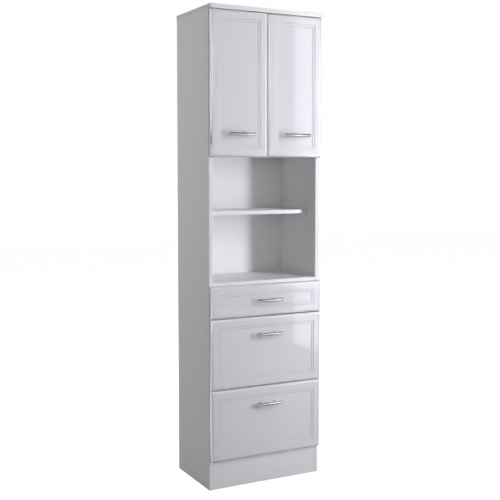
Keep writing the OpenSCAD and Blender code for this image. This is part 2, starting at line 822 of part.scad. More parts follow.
module box_side(d) {
    difference() {
        translate([-box_x, -front_gap, box_z(d)]) cube([box_t, box_d, box_h(d)]);
        translate([-box_x + box_t - tongue, -front_gap - cut, box_z(d) + bottom_lift - groove_gap])
            cube([tongue + cut, box_d + 2 * cut, bottom_t + 2 * groove_gap]);
        box_screw_places(d) {
            translate([-cut, 0, 0]) rod_x(box_screw_r + fit_gap, box_t + 2 * cut);
            translate([-cut, 0, 0]) rod_x(box_screw_head_r + fit_gap, box_screw_head_t + cut);
        }
        small_screw_places(d) translate([-cut, 0, 0]) rod_x(small_screw_r + fit_gap, small_screw_l);
        front_bolt_places(d) {
            translate([0, -cut, 0]) rod_y(front_bolt_r + fit_gap, front_cam_inset + cut);
            translate([box_t / 2 - front_cam_depth, front_cam_inset, 0])
                rod_x(front_cam_r + fit_gap, front_cam_depth + cut);
        }
    }
}

module drawer_sides(d) color(board_white) in_frame() both_sides() box_side(d);

module drawer_back(d) {
    low = bottom_lift + bottom_t;
    color(board_white) in_frame() difference() {
        translate([-box_x + box_t, box_d - front_gap - box_t, box_z(d) + low])
            cube([box_w - 2 * box_t, box_t, box_h(d) - low]);
        both_sides() box_screw_places(d) rod_x(box_screw_r + fit_gap, box_screw_l + fit_gap);
    }
}

module drawer_bottom(d) {
    w = box_w - 2 * (box_t - tongue + groove_gap);
    color(board_white) in_frame()
        translate([-w / 2, -front_gap, box_z(d) + bottom_lift]) cube([w, box_d, bottom_t]);
}

// A cam in the box side's inner face, and its bolt from the front, drawn at the side's front end
module front_cam() {
    rod_front(front_bolt_r, front_bolt_end);
    rod_y(front_bolt_r, front_cam_inset - fit_gap);
    translate([box_t / 2 - front_cam_depth + fit_gap, front_cam_inset, 0]) difference() {
        rod_x(front_cam_r, front_cam_depth - fit_gap);
        translate([box_t / 2 - 2, -front_cam_r - cut, 0])
            rod_y(front_bolt_r + fit_gap, front_cam_r + cut);
        for (a = [0, 90]) rotate([a, 0, 0]) translate([front_cam_depth - 1.6, -4, -0.8])
            cube([1.6 + cut, 8, 1.6]);
    }
}

module drawer_screws(d) {
    color(zinc_grey) in_frame() {
        translate([0, field_y, handle_z(d)]) handle_screws();
        both_sides() {
            box_screw_places(d) {
                rod_x(box_screw_r, box_screw_l);
                rod_x(box_screw_head_r, box_screw_head_t);
            }
            small_screw_places(d) {
                translate([-steel_t, 0, 0]) rod_x(small_screw_r, small_screw_l - cut);
                translate([-steel_t - small_screw_head_t, 0, 0]) rod_x(small_screw_head_r, small_screw_head_t);
            }
            front_bolt_places(d) front_cam();
        }
    }
}

// ---------------------------------------------------------------- runners and rollers

// A steel profile along the drawer's travel, its outline drawn with x across and y up
module steel_profile(l) translate([0, l, 0]) rotate([90, 0, 0]) linear_extrude(l) children();

module drawer_runner(d) {
    translate([-box_x, 0, box_z(d)]) difference() {
        union() {
            translate([0, -front_gap, 0]) steel_profile(runner_l) {
                translate([-steel_t, -steel_t]) square([ledge_under_box + steel_t, steel_t]);
                translate([-steel_t, -steel_t]) square([steel_t, flange_z + 2 * steel_t]);
                translate([-runner_gap / 2 - steel_t, flange_z]) square([runner_gap / 2 + steel_t, steel_t]);
            }
            translate([-runner_gap + roller_x - 0.5, rear_roller_y, runner_z])
                rod_x(axle_r, runner_gap - roller_x + 0.5);
        }
        for (y = small_screw_ys) translate([-steel_t - cut, y, runner_z + 2])
            rod_x(small_screw_r + fit_gap, steel_t + 2 * cut);
    }
}

module drawer_runners(d) color(nylon_white) in_frame() both_sides() drawer_runner(d);

module cabinet_runner(d) {
    translate([-inner_x, 0, box_z(d)]) difference() {
        union() {
            steel_profile(runner_l) {
                translate([0, channel_floor_z - steel_t])
                    square([steel_t, channel_top_z - channel_floor_z + 2 * steel_t]);
                translate([0, channel_floor_z - steel_t]) square([channel_w + steel_t, steel_t]);
                translate([channel_w, channel_floor_z - steel_t]) square([steel_t, lip_h + steel_t]);
                translate([0, channel_top_z]) square([top_lip_w, steel_t]);
            }
            translate([0, front_roller_y, runner_z]) rod_x(axle_r, roller_x + roller_w + 0.5);
        }
        for (y = runner_hole_ys) translate([-cut, y, runner_z])
            rod_x(screw_r + 2 * fit_gap, steel_t + 2 * cut);
    }
}

module cabinet_runners() {
    color(nylon_white) in_frame() both_sides() for (d = DRAWERS) cabinet_runner(d);
}

module roller() difference() {
    rod_x(roller_r, roller_w);
    translate([-cut, 0, 0]) rod_x(axle_r + fit_gap, roller_w + 2 * cut);
}

module rollers_at(d, y) {
    color(nylon_white) in_frame() both_sides()
        translate([-inner_x + roller_x, y, box_z(d) + runner_z]) roller();
}

module cabinet_rollers(d) rollers_at(d, front_roller_y);

module drawer_rollers(d) rollers_at(d, rear_roller_y);

// ---------------------------------------------------------------- nodes

side_left();
side_right();
top_panel();
niche_ceiling();
niche_floor();
bottom_panel();
plinth();
back_panel_upper();
back_panel_lower();
back_joint_strip();
upper_shelf();
niche_shelf();
shelf_pins();
cam_fittings();
dowels();
wall_brackets();
buffers();
system_screws();
hinge_plates();
hinge_arms();
cabinet_runners();
door_left();
door_handle_left();
door_screws_left();
hinge_cups_left();
outer_links_left();
inner_links_left();
door_right();
door_handle_right();
door_screws_right();
hinge_cups_right();
outer_links_right();
inner_links_right();
drawer_front(TOP);  // drawer_front_top
drawer_handle(TOP);  // drawer_handle_top
drawer_sides(TOP);  // drawer_sides_top
drawer_back(TOP);  // drawer_back_top
drawer_bottom(TOP);  // drawer_bottom_top
drawer_screws(TOP);  // drawer_screws_top
drawer_runners(TOP);  // drawer_runners_top
cabinet_rollers(TOP);  // cabinet_rollers_top
drawer_rollers(TOP);  // drawer_rollers_top
drawer_front(MIDDLE);  // drawer_front_middle
drawer_handle(MIDDLE);  // drawer_handle_middle
drawer_sides(MIDDLE);  // drawer_sides_middle
drawer_back(MIDDLE);  // drawer_back_middle
drawer_bottom(MIDDLE);  // drawer_bottom_middle
drawer_screws(MIDDLE);  // drawer_screws_middle
drawer_runners(MIDDLE);  // drawer_runners_middle
cabinet_rollers(MIDDLE);  // cabinet_rollers_middle
drawer_rollers(MIDDLE);  // drawer_rollers_middle
drawer_front(LOWER);  // drawer_front_lower
drawer_handle(LOWER);  // drawer_handle_lower
drawer_sides(LOWER);  // drawer_sides_lower
drawer_back(LOWER);  // drawer_back_lower
drawer_bottom(LOWER);  // drawer_bottom_lower
drawer_screws(LOWER);  // drawer_screws_lower
drawer_runners(LOWER);  // drawer_runners_lower
cabinet_rollers(LOWER);  // cabinet_rollers_lower
drawer_rollers(LOWER);  // drawer_rollers_lower
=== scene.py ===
import math

import bmesh
import bpy
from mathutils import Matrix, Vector


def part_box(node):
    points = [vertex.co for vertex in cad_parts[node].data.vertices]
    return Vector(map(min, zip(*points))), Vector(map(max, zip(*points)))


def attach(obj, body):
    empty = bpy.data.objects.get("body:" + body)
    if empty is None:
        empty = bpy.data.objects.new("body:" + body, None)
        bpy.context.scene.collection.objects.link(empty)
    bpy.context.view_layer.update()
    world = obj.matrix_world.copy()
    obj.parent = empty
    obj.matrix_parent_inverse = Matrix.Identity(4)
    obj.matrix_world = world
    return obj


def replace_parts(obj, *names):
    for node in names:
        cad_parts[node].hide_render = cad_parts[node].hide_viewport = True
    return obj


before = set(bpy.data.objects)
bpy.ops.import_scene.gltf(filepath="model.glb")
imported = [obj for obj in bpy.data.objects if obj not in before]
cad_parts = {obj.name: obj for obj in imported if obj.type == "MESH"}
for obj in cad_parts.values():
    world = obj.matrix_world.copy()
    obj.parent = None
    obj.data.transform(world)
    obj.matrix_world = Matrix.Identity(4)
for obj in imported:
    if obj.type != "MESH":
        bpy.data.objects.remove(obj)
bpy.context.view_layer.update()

# ------------------------------------------------------------------ camera
# The cabinet is seen from the front and from its left, from about two thirds of its height.
# The lens is long, and a small shift lowers the view, as the tall object's framing needs.
camera = bpy.data.objects.new("camera", bpy.data.cameras.new("camera"))
bpy.context.scene.collection.objects.link(camera)
camera.location = (-1.70875, -3.26898, 1.26028)
camera.rotation_euler = (math.radians(90 - 3.743), 0, math.radians(-27.569))
camera.data.sensor_width = 36
camera.data.lens = 64.284
camera.data.shift_y = -0.04
bpy.context.scene.camera = camera


# ------------------------------------------------------------------ room
# A plain pale floor in a white studio. The main light is a tall narrow softbox in front of the
# cabinet, to its right, and its image shows in the glossy fronts. Wide softboxes behind, in
# front and above light the other sides evenly.
class Reading:
    """A socket whose value may differ from point to point. Sums with it add Math nodes."""

    def __init__(self, nodes, socket):
        self.nodes, self.socket = nodes, socket

    def math(self, operation, *values):
        return self.nodes.add("Math", dict(enumerate(values)), operation=operation)

    def __add__(self, other):
        return self.math("ADD", self, other)

    def __sub__(self, other):
        return self.math("SUBTRACT", self, other)

    def __rsub__(self, other):
        return self.math("SUBTRACT", other, self)

    def __mul__(self, other):
        return self.math("MULTIPLY", self, other)

    def __gt__(self, other):
        return self.math("GREATER_THAN", self, other)

    def __lt__(self, other):
        return self.math("LESS_THAN", self, other)

    def __abs__(self):
        return self.math("ABSOLUTE", self)

    __radd__ = __add__
    __rmul__ = __mul__


class Nodes:
    """The node tree of a material or of the world."""

    def __init__(self, owner):
        owner.use_nodes = True
        self.tree = owner.node_tree

    def plug(self, socket, value):
        if isinstance(value, Reading):
            self.tree.links.new(value.socket, socket)
        elif isinstance(value, tuple) and len(value) < len(socket.default_value):
            socket.default_value = (*value, 1)
        else:
            socket.default_value = value

    def add(self, kind, sockets=None, out=0, **settings):
        """Adds a node with its settings, and its sockets' values or links."""
        node = self.tree.nodes.new("ShaderNode" + kind)
        for name, value in settings.items():
            setattr(node, name, value)
        for name, value in (sockets or {}).items():
            self.plug(node.inputs[name], value)
        return Reading(self, node.outputs[out])


class Finish(Nodes):
    """A surface finish: one Principled surface and the nodes that feed it."""

    def __init__(self, name, **surface):
        self.material = bpy.data.materials.new(name)
        super().__init__(self.material)
        self.surface = self.tree.nodes["Principled BSDF"]
        self.feed(**surface)
        self.place = self.add("TexCoord", out="Object")

    def feed(self, **surface):
        for name, value in surface.items():
            self.plug(self.surface.inputs[name.replace("_", " ")], value)

    def noise(self, size, stretch=(1, 1, 1), detail=2):
        """Noise with features of about that size in metres, longer where stretch is small."""
        place = self.add("Mapping", {"Vector": self.place, "Scale": stretch})
        return self.add("TexNoise", {"Vector": place, "Scale": 1 / size, "Detail": detail})

    def mix(self, share, first, second):
        colours = {"Factor": share, 6: first, 7: second}
        return self.add("Mix", colours, out=2, data_type="RGBA")

    def bump(self, height, distance, strength=1.0):
        sockets = {"Height": height, "Distance": distance, "Strength": strength}
        self.feed(Normal=self.add("Bump", sockets))


backdrop = bpy.data.worlds.new("backdrop")
bpy.context.scene.world = backdrop
air = Nodes(backdrop)
even = air.add("Background", {"Color": (1.0, 1.0, 0.98), "Strength": 0.05})
white = air.add("Background", {"Color": (1.0, 1.0, 1.0)})
camera_sees = air.add("LightPath", out="Is Camera Ray")
seen = air.add("MixShader", {0: camera_sees, 1: even, 2: white})
air.plug(air.tree.nodes["World Output"].inputs["Surface"], seen)

paper = Finish("pale_floor", Roughness=0.9, Specular_IOR_Level=0.1)
paper.feed(Base_Color=paper.mix(paper.noise(0.6), (0.38, 0.38, 0.38), (0.36, 0.36, 0.36)))
glow = paper.add("Emission", {"Color": (1.0, 1.0, 1.0), "Strength": 0.97})
bare = Reading(paper, paper.surface.outputs[0])
bright = paper.add("AddShader", {0: bare, 1: glow})
camera_sees = paper.add("LightPath", out="Is Camera Ray")
seen = paper.add("MixShader", {0: camera_sees, 1: bare, 2: bright})
paper.plug(paper.tree.nodes["Material Output"].inputs["Surface"], seen)

ground = bmesh.new()
bmesh.ops.create_grid(ground, x_segments=8, y_segments=8, size=12)
floor = bpy.data.objects.new("floor", bpy.data.meshes.new("floor"))
ground.to_mesh(floor.data)
ground.free()
floor.data.materials.append(paper.material)
bpy.context.scene.collection.objects.link(floor)


def softbox(name, centre, towards, width, height, brightness, tint=(1, 1, 1), seen=(True, True)):
    """A rectangular light with that radiance; seen says whether it lights matt surfaces, and
    whether glossy ones mirror it."""
    lamp = bpy.data.lights.new(name, "AREA")
    lamp.shape = "RECTANGLE"
    lamp.size, lamp.size_y = width, height
    lamp.energy = brightness * math.pi * width * height
    lamp.color = tint
    light = bpy.data.objects.new(name, lamp)
    light.location = centre
    light.rotation_euler = Vector(towards).to_track_quat("-Z", "Y").to_euler()
    light.visible_diffuse, light.visible_glossy = seen
    light.visible_camera = False
    bpy.context.scene.collection.objects.link(light)
    return light


cool = (0.98, 0.965, 1.04)
glossy_only, matt_only = (False, True), (True, False)
towards_left = (-1, 0, 0)
softbox("softbox_key", (1.10, -1.65, 1.55), (-0.57, 0.82, 0), 0.24, 2.41, 21.5, cool, matt_only)
softbox("strip_upper", (1.10, -1.65, 1.95), towards_left, 0.32, 1.30, 2.9, cool, glossy_only)
softbox("strip_lower", (1.10, -1.65, 0.745), towards_left, 0.32, 1.11, 3.8, cool, glossy_only)
softbox("softbox_behind", (-2.6, 1.6, 1.9), (0.9, -0.5, -0.1), 2.0, 2.6, 2.6)
softbox("softbox_front", (-0.6, -4.6, 1.6), (0.1, 1, -0.05), 3.2, 2.6, 0.95, seen=matt_only)
softbox("softbox_above", (0.4, 0.9, 3.3), (-0.1, -0.2, -1), 1.6, 1.6, 1.8, seen=matt_only)
softbox("softbox_rear", (1.9, 2.7, 1.7), (-0.6, -0.8, -0.1), 2.4, 2.6, 2.0, seen=matt_only)

# Large pale screens show in the glossy fronts alone, along their rounded edges, and another
# one in the handles.
mirrored = bpy.data.collections.new("mirrored")
polished = bpy.data.collections.new("polished")
for name, centre, towards, width, height, brightness, receivers in (
    ("screen_left", (-3.2, -1.0, 2.84), (1, 0.1, -0.15), 6.8, 2.6, 8.5, mirrored),
    ("screen_front_left", (-1.2, -5.2, 2.9), (0.28, 0.95, -0.15), 4.2, 2.6, 8.5, mirrored),
    ("screen_left_low", (-3.2, -1.0, 0.76), (1, 0.1, 0), 6.8, 1.4, 7.0, mirrored),
    ("screen_right", (1.10, -0.825, 1.465), towards_left, 1.25, 1.23, 7.0, mirrored),
    ("screen_below", (-2.6, -1.6, 0.01), (0, 0, 1), 4.2, 7.0, 5.0, mirrored),
    ("screen_front", (1.5, -3.2, 1.1), (-0.45, 0.88, -0.05), 3.0, 1.8, 1.7, polished),
):
    screen = softbox(name, centre, towards, width, height, brightness, seen=glossy_only)
    screen.light_linking.receiver_collection = receivers
bpy.context.scene.view_settings.view_transform = "Standard"


# ------------------------------------------------------------------ white boards
# Melamine-faced chipboard with a fine pearl texture, 16 mm thick in the cabinet and 12 mm in
# the drawer boxes. Banded edges show a fine glue line; rear edges and holes show bare chips.
board_white = (0.86, 0.86, 0.855)
chip_tan = (0.62, 0.50, 0.34)
chip_dark = (0.42, 0.29, 0.17)
X, Y, Z = 0, 1, 2
drawers = ("top", "middle", "lower")
drawer_board = 0.012
skin = 0.0003
band_depth = 0.0007
glue_line, glue_width = 0.0005, 0.00016


def board_finish(name, node, thin, banded, pair_of=0):
    """White board for a node. thin is its thin axis, and banded its edges with a band, as
    (axis, end), where end is 0 for the low one. Behind those faces lies chipboard. pair_of is
    the boards' thickness where the node is a left and a right one."""
    low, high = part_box(node)
    finish = Finish(name, Roughness=0.42, Specular_IOR_Level=0.4)
    along = [finish.add("SeparateXYZ", {0: finish.place}, out=axis) for axis in (X, Y, Z)]
    if pair_of:
        along[thin], low[thin] = abs(along[thin]), high[thin] - pair_of
    inside = (along[thin] > low[thin] + skin) * (along[thin] < high[thin] - skin)
    line = 0
    for axis, end in banded:
        edge = high[axis] - along[axis] if end else along[axis] - low[axis]
        inside = inside * (edge > band_depth)
        line = line + (abs(edge - glue_line) < glue_width / 2)
    shade = finish.mix(finish.noise(0.09), board_white, (0.845, 0.845, 0.84))
    if banded:
        shade = finish.mix(line * 0.35, shade, (0.35, 0.34, 0.32))
    chips = finish.add("TexVoronoi", {"Vector": finish.place, "Scale": 900}, out="Color")
    grey = finish.add("RGBToBW", {"Color": chips})
    chips = finish.mix(grey, chip_tan, chip_dark)
    finish.feed(Base_Color=finish.mix(inside, shade, chips))
    finish.feed(Roughness=0.40 + 0.08 * finish.noise(0.004) + inside * 0.4)
    finish.bump(finish.noise(0.0009, detail=1) + inside * grey, 0.00004, 0.5)
    return finish


def dress(finish, *nodes):
    """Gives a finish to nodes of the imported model."""
    for name in nodes:
        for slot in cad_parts[name].material_slots:
            slot.material = finish.material


for name in ("side_left", "side_right"):
    dress(board_finish(name, name, X, [(Y, 0)]), name)
dress(board_finish("top_board", "top_panel", Z, [(Y, 0), (X, 0), (X, 1)]), "top_panel")
for name in ("niche_ceiling", "niche_floor", "bottom_panel", "upper_shelf", "niche_shelf"):
    dress(board_finish(name, name, Z, [(Y, 0)]), name)
dress(board_finish("plinth_board", "plinth", Y, []), "plinth")
for level in drawers:
    for part, thin, pair_of in (("sides", X, drawer_board), ("back", Y, 0)):
        node = f"drawer_{part}_{level}"
        dress(board_finish(f"{node}_board", node, thin, [(Z, 1)], pair_of), node)

# ------------------------------------------------------------------ edge bands
# Plastic bands, half a millimetre thick, are glued over the sawn front edges of the boards and
# round three edges of the top panel. Their long edges are trimmed to a small radius.
band = Finish("edge_band", Specular_IOR_Level=0.4)
band.feed(
    Base_Color=band.mix(band.noise(0.09), board_white, (0.85, 0.85, 0.845)),
    Roughness=0.20 + 0.06 * band.noise(0.003),
)
band.bump(band.noise(0.0012, detail=1), 0.00002, 0.4)

band_thickness = 0.00045
band_proud = 0.00005
band_radius = 0.0004
shortest_band = 0.05


def add_band(shape, node, axis, end):
    """Lays a band on one edge of a board; end is 0 for the low end of the axis."""
    low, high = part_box(node)
    if end:
        low[axis], high[axis] = high[axis] - band_thickness, high[axis] + band_proud
    else:
        low[axis], high[axis] = low[axis] - band_proud, low[axis] + band_thickness
    outer = high[axis] if end else low[axis]
    corners = bmesh.ops.create_cube(shape, size=1)["verts"]
    bmesh.ops.scale(shape, verts=corners, vec=high - low)
    bmesh.ops.translate(shape, verts=corners, vec=(low + high) / 2)
    long_edges = {
        edge
        for corner in corners
        for edge in corner.link_edges
        if edge.calc_length() > shortest_band
        and all(abs(v.co[axis] - outer) < 1e-6 for v in edge.verts)
    }
    bmesh.ops.bevel(
        shape,
        geom=list(long_edges),
        affect="EDGES",
        offset=band_radius,
        segments=3,
        profile=0.5,
        material=-1,
    )


def new_piece(name, shape, finish, body, sharp=30):
    """Makes an object of a shape, with smooth faces between its sharp edges, on a body."""
    mesh = bpy.data.meshes.new(name)
    bmesh.ops.recalc_face_normals(shape, faces=shape.faces)
    shape.to_mesh(mesh)
    shape.free()
    mesh.shade_smooth()
    mesh.set_sharp_from_angle(angle=math.radians(sharp))
    piece = bpy.data.objects.new(name, mesh)
    piece.data.materials.append(finish.material)
    bpy.context.scene.collection.objects.link(piece)
    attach(piece, body)
    return piece


bands = bmesh.new()
for node in ("side_left", "side_right", "niche_ceiling", "niche_floor", "bottom_panel"):
    add_band(bands, node, Y, 0)
for node in ("upper_shelf", "niche_shelf"):
    add_band(bands, node, Y, 0)
for axis, end in ((Y, 0), (X, 0), (X, 1)):
    add_band(bands, "top_panel", axis, end)
new_piece("edge_bands", bands, band, "carcass", sharp=50)

# ------------------------------------------------------------------ back panel
# Thin hardboard with a white coat, pushed into grooves. The back's two halves meet in an
# extruded plastic strip. The drawers' bottoms are cut from the same sheet.
hardboard = Finish("coated_hardboard", Specular_IOR_Level=0.3)
hardboard.feed(
    Base_Color=hardboard.mix(hardboard.noise(0.05), (0.90, 0.90, 0.90), (0.885, 0.885, 0.885)),
    Roughness=0.5 + 0.1 * hardboard.noise(0.003),
)
hardboard.bump(hardboard.noise(0.0006, detail=1), 0.00003, 0.6)
dress(hardboard, "back_panel_upper", "back_panel_lower")
dress(hardboard, *(f"drawer_bottom_{level}" for level in drawers))

strip = Finish("extruded_strip", Base_Color=(0.82, 0.82, 0.81))
strip.feed(Roughness=0.35 + 0.1 * strip.noise(0.002, (0.05, 1, 1)))
strip.bump(strip.noise(0.001, (0.02, 1, 1)), 0.00003, 0.5)
dress(strip, "back_joint_strip")

# ------------------------------------------------------------------ doors and drawer fronts
# Fibreboard, routed with a two-step frame and wrapped in glossy white foil. The foil goes over
# the rounded edges and ends at the back, which stays matt. The model's solid is the board.
foil = Finish("gloss_foil")
# Painted shade: the "routed" attribute marks the cove walls, where the foil's colour is mixed
# halfway to dark grey. This stands in for the shade that falls in the coves.
routed = foil.add("Attribute", out="Fac", attribute_name="routed")
shade = foil.mix(foil.noise(0.15), (0.775, 0.772, 0.790), (0.785, 0.782, 0.800))
foil.feed(
    Base_Color=foil.mix(routed * 0.5, shade, (0.36, 0.36, 0.38)),
    Roughness=0.002 + 0.008 * foil.noise(0.01),
)
foil.bump(foil.noise(0.03, detail=1), 0.00005, 0.25)

matt_back = Finish("front_back", Base_Color=(0.79, 0.79, 0.80), Roughness=0.45)
matt_back.bump(matt_back.noise(0.0009, detail=1), 0.00004, 0.5)

edge_radius = 0.012
foil_thickness = 0.0003
routed_depth = 0.002
step_insets = (0.032, 0.041)
lip, margin = 0.0004, 0.0003


def routed_profile():
    """The front's profile as (inset, depth, greyness) from the rounded edge to the field.
    Narrow strips beside each bend keep the flats' shading flat. The third value is shade painted
    into the coves: where it is 1, the foil's colour is darkened most."""
    steps = [(edge_radius + margin, 0.0, 0.0)]
    for start, level in zip(step_insets, (0.0, routed_depth)):
        steps.append((start - lip - margin, level, 0.0))
        for i in range(3):
            turn = math.radians(45 * i)
            inset, depth = lip * math.sin(turn), lip * (1 - math.cos(turn))
            steps.append((start - lip + inset, level + depth, i / 2))
        first = math.asin(lip / routed_depth)
        for i in range(1, 6):
            turn = first + (math.pi / 2 - first) * i / 5
            inset, depth = routed_depth * (1 - math.cos(turn)), routed_depth * math.sin(turn)
            steps.append((start + inset, level + depth, 1.0))
        steps.append((start + routed_depth + margin, level + routed_depth, 0.0))
    return steps


def wrap_front(node, body):
    """Lays foil over the face and the edges of a front, with the routed frame pressed in."""
    low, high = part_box(node)
    proud = foil_thickness / 2
    size = high - low
    shape = bmesh.new()
    # Each vertex's share of the shade painted into the coves.
    painted_cove_shade = shape.verts.layers.float.new("routed")
    bmesh.ops.create_cube(shape, size=1)
    bmesh.ops.scale(
        shape, verts=shape.verts, vec=(size.x + 2 * proud, size.y + proud, size.z + 2 * proud)
    )
    bmesh.ops.translate(
        shape, verts=shape.verts, vec=(low + high) / 2 + Vector((0, -proud / 2, 0))
    )
    back = [f for f in shape.faces if f.normal.y > 0.9]
    bmesh.ops.delete(shape, geom=back, context="FACES_ONLY")
    front = [f for f in shape.faces if f.normal.y < -0.9][0]
    bmesh.ops.bevel(
        shape,
        geom=list(front.edges),
        affect="EDGES",
        offset=edge_radius,
        segments=10,
        profile=0.5,
        material=-1,
    )
    shape.faces.ensure_lookup_table()
    field = max((f for f in shape.faces if f.normal.y < -0.999), key=lambda f: f.calc_area())
    at, down = edge_radius + proud, 0.0
    for inset, depth, grey in routed_profile():
        bmesh.ops.inset_region(
            shape,
            faces=[field],
            thickness=inset + proud - at,
            depth=-(depth - down),
            use_even_offset=True,
        )
        # Gives the new ring its share of the painted cove shade.
        for corner in field.verts:
            corner[painted_cove_shade] = grey
        at, down = inset + proud, depth
    piece = new_piece(f"{node}_foil", shape, foil, body, sharp=40)
    wall = piece.modifiers.new("foil", "SOLIDIFY")
    wall.thickness = foil_thickness
    wall.offset = -1
    mirrored.objects.link(piece)


for side in ("left", "right"):
    dress(matt_back, f"door_{side}")
    wrap_front(f"door_{side}", f"door_{side}")
for level in drawers:
    dress(matt_back, f"drawer_front_{level}")
    wrap_front(f"drawer_front_{level}", f"drawer_{level}")

# ------------------------------------------------------------------ handles
# A satin steel bar of 12 mm with softened ends, on two turned posts that are screwed to the
# front from behind.
satin = Finish("satin_steel", Base_Color=(0.60, 0.61, 0.63), Metallic=1)
satin.feed(Roughness=0.18 + 0.10 * satin.noise(0.0006, (0.02, 1, 1)))
satin.bump(satin.noise(0.0004, (0.02, 1, 1)), 0.00001, 0.4)

bar_radius, bar_softening = 0.006, 0.0014
post_radius, flange = 0.0036, 0.0014
post_spacing = 0.064


def turned(shape, outline, centre, axis, steps=32):
    """Turns an outline, as (distance along the axis, radius), round an axis through centre."""
    axis = Vector(axis)
    side = axis.orthogonal().normalized()
    corners = [shape.verts.new(Vector(centre) + axis * a + side * r) for a, r in outline]
    line = [shape.edges.new(pair) for pair in zip(corners, corners[1:])]
    bmesh.ops.spin(
        shape,
        geom=corners + line,
        cent=centre,
        axis=axis,
        angle=2 * math.pi,
        steps=steps,
        use_merge=True,
    )
    bmesh.ops.remove_doubles(shape, verts=shape.verts, dist=1e-6)


def round_end(length, radius, soft, parts=4):
    """Half of a rod's outline: from its middle to its softened end."""
    return [
        (length - soft + soft * math.sin(a), radius - soft + soft * math.cos(a))
        for a in (math.pi / 2 * i / parts for i in range(parts + 1))
    ] + [(length, 0)]


def handle(node, body):
    """A softened bar on two flanged posts, in place of the model's plain handle."""
    low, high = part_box(node)
    middle = (low + high) / 2
    bar = Vector((middle.x, low.y + bar_radius, middle.z))
    half = (high.x - low.x) / 2
    shape = bmesh.new()
    end = round_end(half, bar_radius, bar_softening)
    turned(shape, [(-a, r) for a, r in reversed(end)] + end, bar, (1, 0, 0), 40)
    reach = high.y - bar.y
    post = [
        (0, 0),
        (0, post_radius + flange),
        (0.0009, post_radius + flange),
        (0.0015, post_radius + 0.0010),
        (0.0022, post_radius + 0.0003),
        (0.0034, post_radius),
        (reach - 0.002, post_radius),
        (reach - 0.002, 0),
    ]
    for side in (-1, 1):
        foot = Vector((middle.x + side * post_spacing / 2, high.y, middle.z))
        turned(shape, post, foot, (0, -1, 0), 28)
    piece = new_piece(f"{node}_turned", shape, satin, body)
    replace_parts(piece, node)
    polished.objects.link(piece)


for side in ("left", "right"):
    handle(f"door_handle_{side}", f"door_{side}")
for level in drawers:
    handle(f"drawer_handle_{level}", f"drawer_{level}")

# ------------------------------------------------------------------ hinges
# Concealed four-bar hinges of nickel-plated steel: a plate screwed to the side, the arm on it,
# two links, and the cup that is pressed into the door.
nickel = Finish("nickel_plate", Base_Color=(0.62, 0.61, 0.59), Metallic=1)
nickel.feed(Roughness=0.26 + 0.16 * nickel.noise(0.003))
nickel.bump(nickel.noise(0.0008), 0.00001, 0.4)
dress(nickel, "hinge_plates", "hinge_arms")
for side in ("left", "right"):
    dress(nickel, f"hinge_cups_{side}", f"outer_links_{side}", f"inner_links_{side}")

# ------------------------------------------------------------------ screws, cams and brackets
# Zinc-plated screws, pins and wall angles, and die-cast cams, all with the dull grey of the
# plating. Ribbed beech dowels sit beside the cams.
zinc = Finish("zinc_plate", Metallic=1)
zinc.feed(
    Base_Color=zinc.mix(zinc.noise(0.004), (0.56, 0.57, 0.58), (0.64, 0.64, 0.61)),
    Roughness=0.34 + 0.2 * zinc.noise(0.002),
)
zinc.bump(zinc.noise(0.0006), 0.00002, 0.5)
dress(zinc, "shelf_pins", "cam_fittings", "system_screws", "wall_brackets")
dress(zinc, "door_screws_left", "door_screws_right")
dress(zinc, *(f"drawer_screws_{level}" for level in drawers))

beech = Finish("beech_dowel", Roughness=0.6)
beech.feed(
    Base_Color=beech.mix(beech.noise(0.002, (0.1, 1, 1)), (0.62, 0.44, 0.25), (0.50, 0.33, 0.17))
)
beech.bump(beech.noise(0.001, (0.05, 1, 1)), 0.00005, 0.6)
dress(beech, "dowels")

# ------------------------------------------------------------------ buffers
# Small domed pads of clear soft plastic, glued where the doors and drawer fronts close on the
# carcass.
clear = Finish("soft_buffer", Base_Color=(0.86, 0.87, 0.88), Transmission_Weight=0.55, IOR=1.45)
clear.feed(Roughness=0.12 + 0.1 * clear.noise(0.002))
clear.bump(clear.noise(0.001), 0.00002, 0.4)

buffer_radius = 0.005
door_buffer_x = 0.02
pad_dome = [(0, 0), (0, 1), (0.35, 1), (0.66, 0.9), (0.86, 0.66), (0.97, 0.34), (1, 0)]

buffer_low, buffer_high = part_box("buffers")
height = buffer_high.y - buffer_low.y
outline = [(a * height, r * buffer_radius) for a, r in pad_dome]
places = [(side * door_buffer_x, buffer_high.z - buffer_radius) for side in (-1, 1)]
for level in drawers:
    low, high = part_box(f"drawer_front_{level}")
    for x in (buffer_low.x + buffer_radius, buffer_high.x - buffer_radius):
        places.append((x, (low.z + high.z) / 2))
pads = bmesh.new()
for x, z in places:
    turned(pads, outline, (x, buffer_high.y, z), (0, -1, 0), 24)
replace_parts(new_piece("buffers_domed", pads, clear, "carcass"), "buffers")

# ------------------------------------------------------------------ runners and rollers
# Folded steel profiles with a white powder coat, screwed to the sides and to the drawer boxes.
# Moulded nylon rollers turn on their axles and carry the drawers.
powder = Finish("powder_coat", Base_Color=(0.80, 0.80, 0.79))
powder.feed(Roughness=0.32 + 0.12 * powder.noise(0.002))
powder.bump(powder.noise(0.0012), 0.00004, 0.7)
dress(powder, "cabinet_runners", *(f"drawer_runners_{level}" for level in drawers))

nylon = Finish("nylon_roller", Base_Color=(0.84, 0.84, 0.82), Subsurface_Weight=0.1)
nylon.feed(Roughness=0.34 + 0.12 * nylon.noise(0.001))
nylon.bump(nylon.noise(0.0005), 0.00001, 0.4)

roller_width = 0.0056
axle_hole = 0.00205
hub_and_face = [(0, 0.4), (0, 0.52), (0.16, 0.56), (0.16, 0.8), (0, 0.84), (0, 0.93)]
tread = [(0.03, 0.97), (0.1, 1)]


